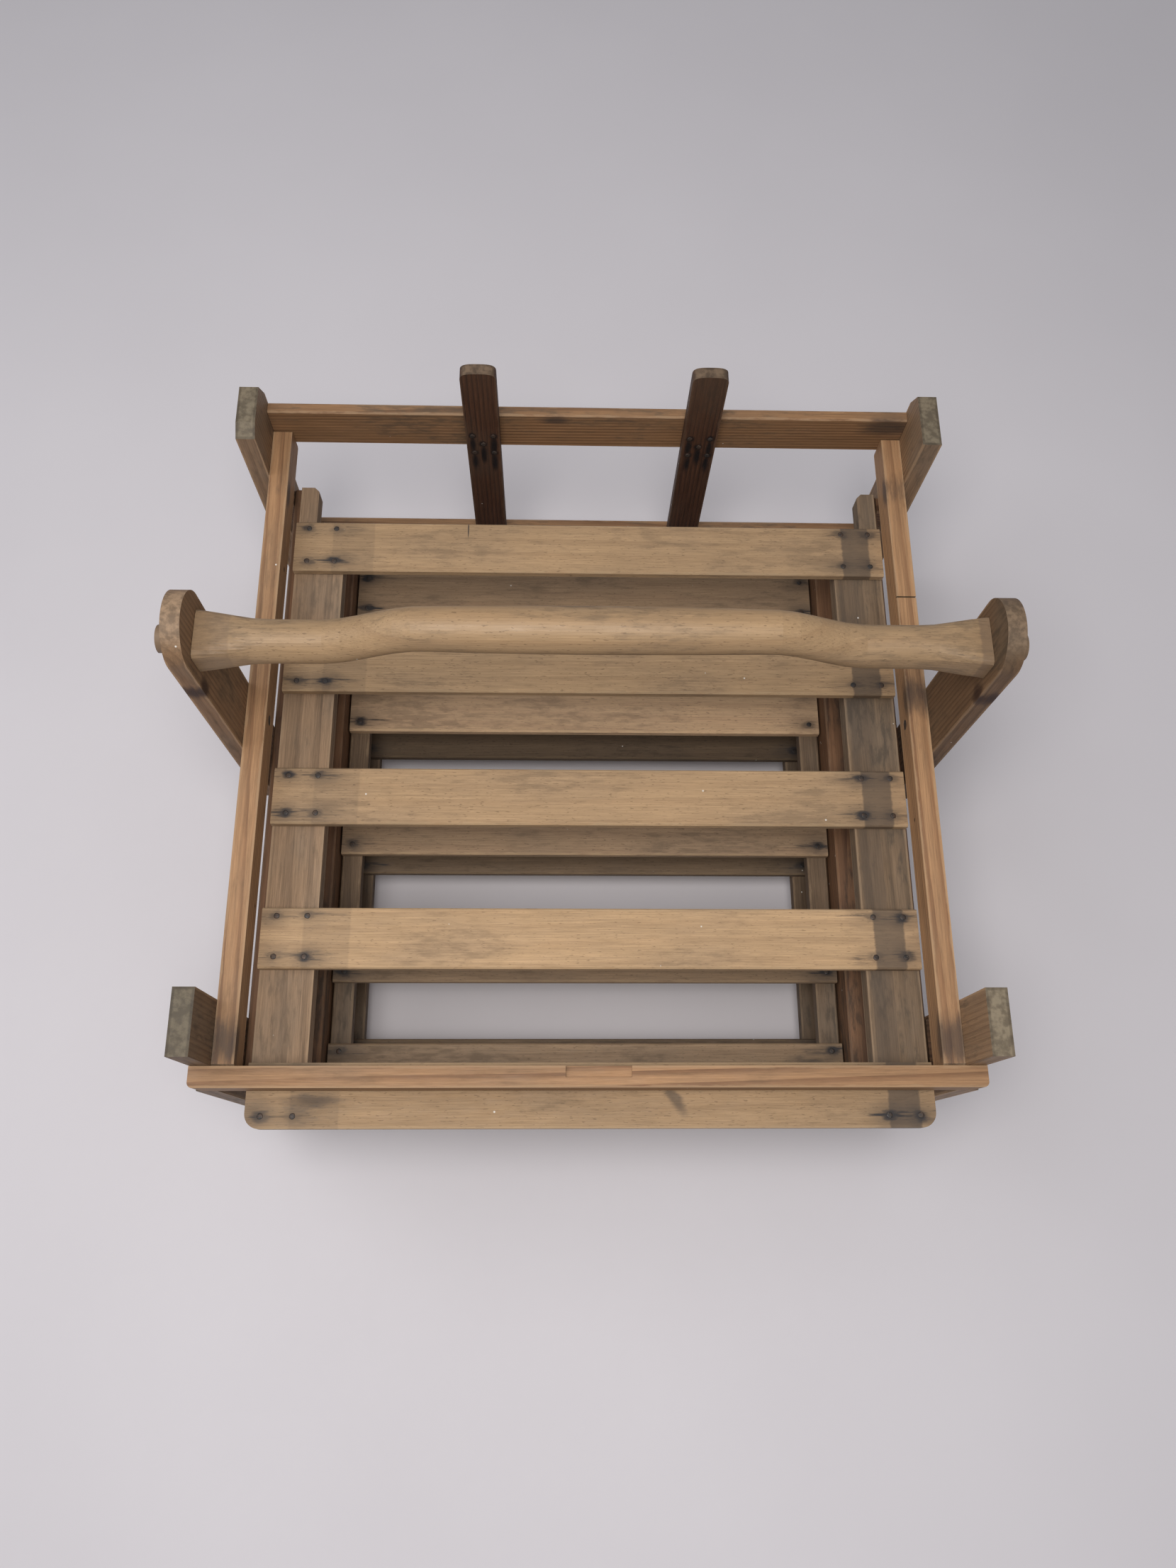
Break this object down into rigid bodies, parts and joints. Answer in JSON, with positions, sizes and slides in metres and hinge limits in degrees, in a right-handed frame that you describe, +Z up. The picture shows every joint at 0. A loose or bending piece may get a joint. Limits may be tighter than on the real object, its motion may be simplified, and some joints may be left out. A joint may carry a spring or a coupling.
{
  "type": "slatted drying rack with folding handle",
  "caption": "Wooden drying rack: a post and rail stand with sliding slatted trays one above another, and a turned grip on two arms that swings over the top.",
  "frame": {"origin": "on the floor, under the centre of the rack's bounding box", "axes": "+Z up, +Y from the open front of the trays towards the back slats, +X to the right seen from the front"},
  "size_m": [0.7366, 0.727, 0.524],
  "materials": {
    "pine": "old waxed pine with strong straight grain, worn edges and dark stains",
    "arm_wood": "worn pine, greyed",
    "slat_wood": "dry beech with dark flecks, grey bands at the ends and blue-black iron stains",
    "lower_slat_wood": "dry beech, dark and dusty",
    "stile_wood": "weathered grey-brown beech with open grain",
    "dark_wood": "dark reddish brown stained wood with black nail streaks",
    "grip_wood": "smooth pale wood polished by hands",
    "iron": "dark oxidised iron"
  },
  "bodies": {
    "stand": {"back_slat_left": "dark_wood", "back_slat_right": "dark_wood", "bottom_ledger_left": "pine", "bottom_ledger_right": "pine", "bottom_rail_left": "pine", "bottom_rail_right": "pine", "corner_block_front_left": "pine", "corner_block_front_right": "pine", "corner_block_rear_left": "pine", "corner_block_rear_right": "pine", "front_crossbar": "pine", "front_post_left": "pine", "front_post_right": "pine", "lower_front_crossbar": "pine", "lower_rear_crossbar": "pine", "middle_ledger_left": "pine", "middle_ledger_right": "pine", "middle_rail_left": "pine", "middle_rail_right": "pine", "pivot_bolt_left": "iron", "pivot_bolt_right": "iron", "rear_crossbar": "pine", "rear_post_left": "pine", "rear_post_right": "pine", "runner_block_front_left": "pine", "runner_block_front_right": "pine", "runner_block_rear_left": "pine", "runner_block_rear_right": "pine", "top_runner_left": "pine", "top_runner_right": "pine", "upper_rail_left": "pine", "upper_rail_right": "pine"},
    "top_tray": {"top_tray_slat_1": "slat_wood", "top_tray_slat_2": "slat_wood", "top_tray_slat_3": "slat_wood", "top_tray_slat_4": "slat_wood", "top_tray_slat_5": "slat_wood", "top_tray_stile_left": "stile_wood", "top_tray_stile_right": "stile_wood"},
    "middle_tray": {"middle_tray_slat_1": "slat_wood", "middle_tray_slat_2": "slat_wood", "middle_tray_slat_3": "slat_wood", "middle_tray_slat_4": "slat_wood", "middle_tray_slat_5": "slat_wood", "middle_tray_stile_left": "stile_wood", "middle_tray_stile_right": "stile_wood"},
    "bottom_tray": {"bottom_tray_slat_1": "lower_slat_wood", "bottom_tray_slat_2": "lower_slat_wood", "bottom_tray_slat_3": "lower_slat_wood", "bottom_tray_slat_4": "lower_slat_wood", "bottom_tray_slat_5": "lower_slat_wood", "bottom_tray_stile_left": "stile_wood", "bottom_tray_stile_right": "stile_wood"},
    "handle": {"grip_bar": "grip_wood", "handle_arm_left": "arm_wood", "handle_arm_right": "arm_wood"}
  },
  "joints": [
    {"name": "handle_swing", "type": "hinge", "parent": "stand", "child": "handle", "pos_m": [0, 0.0235, 0.295], "axis": [1, 0, 0], "range_deg": [-75, 75]},
    {"name": "top_tray_slide", "type": "slide", "parent": "stand", "child": "top_tray", "axis": [0, -1, 0], "range_m": [0, 0.24]},
    {"name": "middle_tray_slide", "type": "slide", "parent": "stand", "child": "middle_tray", "axis": [0, -1, 0], "range_m": [0, 0.24]},
    {"name": "bottom_tray_slide", "type": "slide", "parent": "stand", "child": "bottom_tray", "axis": [0, -1, 0], "range_m": [0, 0.24]}
  ]
}
